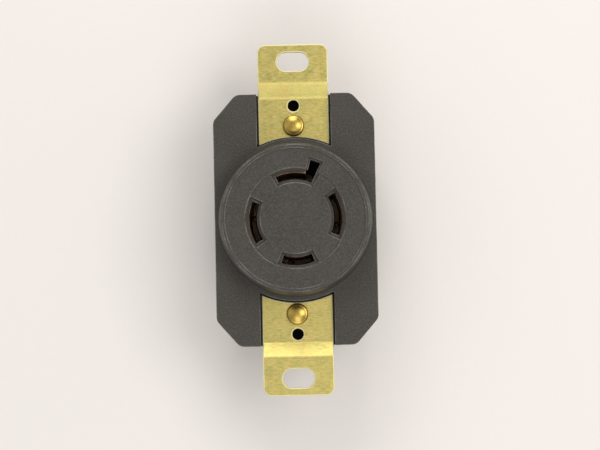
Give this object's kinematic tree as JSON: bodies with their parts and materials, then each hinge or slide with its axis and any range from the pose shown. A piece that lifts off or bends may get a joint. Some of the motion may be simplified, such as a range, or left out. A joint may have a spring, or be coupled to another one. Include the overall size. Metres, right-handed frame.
{
  "type": "locking receptacle",
  "caption": "Flush-mounted locking power receptacle: black moulded face with curved blade slots, brass ears for a box or panel, and screw clamp terminals.",
  "frame": {"origin": "on the boss axis, in the plane of the flange's and the ears' front faces, midway between the two mounting slots", "axes": "+Z out of the face, along the boss axis; +Y along the receptacle's length, towards the ground slot; +X completes a right-handed frame"},
  "size_m": [0.0424, 0.0924, 0.04],
  "materials": {
    "face_moulding": "matte black-brown moulding with a fine grain",
    "body_moulding": "matte black moulding",
    "ear_brass": "satin rolled sheet, pale olive yellow",
    "rivet_brass": "bright, smooth, golden",
    "contact_brass": "reddish rolled strip",
    "clamp_brass": "dull stamped plate",
    "brass_screw": "bright turned and headed brass",
    "nickel_screw": "bright nickel plate",
    "green_screw": "green dyed plating"
  },
  "bodies": {
    "root": {"face_cover": "face_moulding", "rear_housing": "body_moulding", "contact_carrier": "body_moulding", "upper_mounting_ear": "ear_brass", "lower_mounting_ear": "ear_brass", "upper_rivet": "rivet_brass", "lower_rivet": "rivet_brass", "upper_rivet_washer": "rivet_brass", "lower_rivet_washer": "rivet_brass", "ground_bridge": "contact_brass", "ground_jaw": "contact_brass", "neutral_jaw": "contact_brass", "hot_x_jaw": "contact_brass", "hot_y_jaw": "contact_brass", "ground_strap": "contact_brass", "neutral_strap": "contact_brass", "hot_x_strap": "contact_brass", "hot_y_strap": "contact_brass"},
    "ground_screw": {"ground_screw": "green_screw"},
    "ground_clamp": {"ground_clamp": "clamp_brass"},
    "neutral_screw": {"neutral_screw": "nickel_screw"},
    "neutral_clamp": {"neutral_clamp": "clamp_brass"},
    "hot_x_screw": {"hot_x_screw": "brass_screw"},
    "hot_x_clamp": {"hot_x_clamp": "clamp_brass"},
    "hot_y_screw": {"hot_y_screw": "brass_screw"},
    "hot_y_clamp": {"hot_y_clamp": "clamp_brass"}
  },
  "joints": [
    {"name": "ground_screw_turn", "type": "hinge", "parent": "root", "child": "ground_screw", "pos_m": [0.0163, 0.0105, -0.022], "axis": [-1, 0, 0], "range_deg": [0, 1800.5]},
    {"name": "ground_clamp_slide", "type": "slide", "parent": "root", "child": "ground_clamp", "axis": [1, 0, 0], "range_m": [0, 0.00397]},
    {"name": "neutral_screw_turn", "type": "hinge", "parent": "root", "child": "neutral_screw", "pos_m": [-0.0163, -0.0105, -0.022], "axis": [1, 0, 0], "range_deg": [0, 1800.5]},
    {"name": "neutral_clamp_slide", "type": "slide", "parent": "root", "child": "neutral_clamp", "axis": [-1, 0, 0], "range_m": [0, 0.00397]},
    {"name": "hot_x_screw_turn", "type": "hinge", "parent": "root", "child": "hot_x_screw", "pos_m": [-0.0163, 0.0105, -0.022], "axis": [1, 0, 0], "range_deg": [0, 1800.5]},
    {"name": "hot_x_clamp_slide", "type": "slide", "parent": "root", "child": "hot_x_clamp", "axis": [-1, 0, 0], "range_m": [0, 0.00397]},
    {"name": "hot_y_screw_turn", "type": "hinge", "parent": "root", "child": "hot_y_screw", "pos_m": [0.0163, -0.0105, -0.022], "axis": [-1, 0, 0], "range_deg": [0, 1800.5]},
    {"name": "hot_y_clamp_slide", "type": "slide", "parent": "root", "child": "hot_y_clamp", "axis": [1, 0, 0], "range_m": [0, 0.00397]}
  ],
  "couplings": [
    {"joint": "ground_screw_turn", "follows": "ground_clamp_slide", "rad_per_m": 7913.3},
    {"joint": "neutral_screw_turn", "follows": "neutral_clamp_slide", "rad_per_m": 7913.3},
    {"joint": "hot_x_screw_turn", "follows": "hot_x_clamp_slide", "rad_per_m": 7913.3},
    {"joint": "hot_y_screw_turn", "follows": "hot_y_clamp_slide", "rad_per_m": 7913.3}
  ]
}
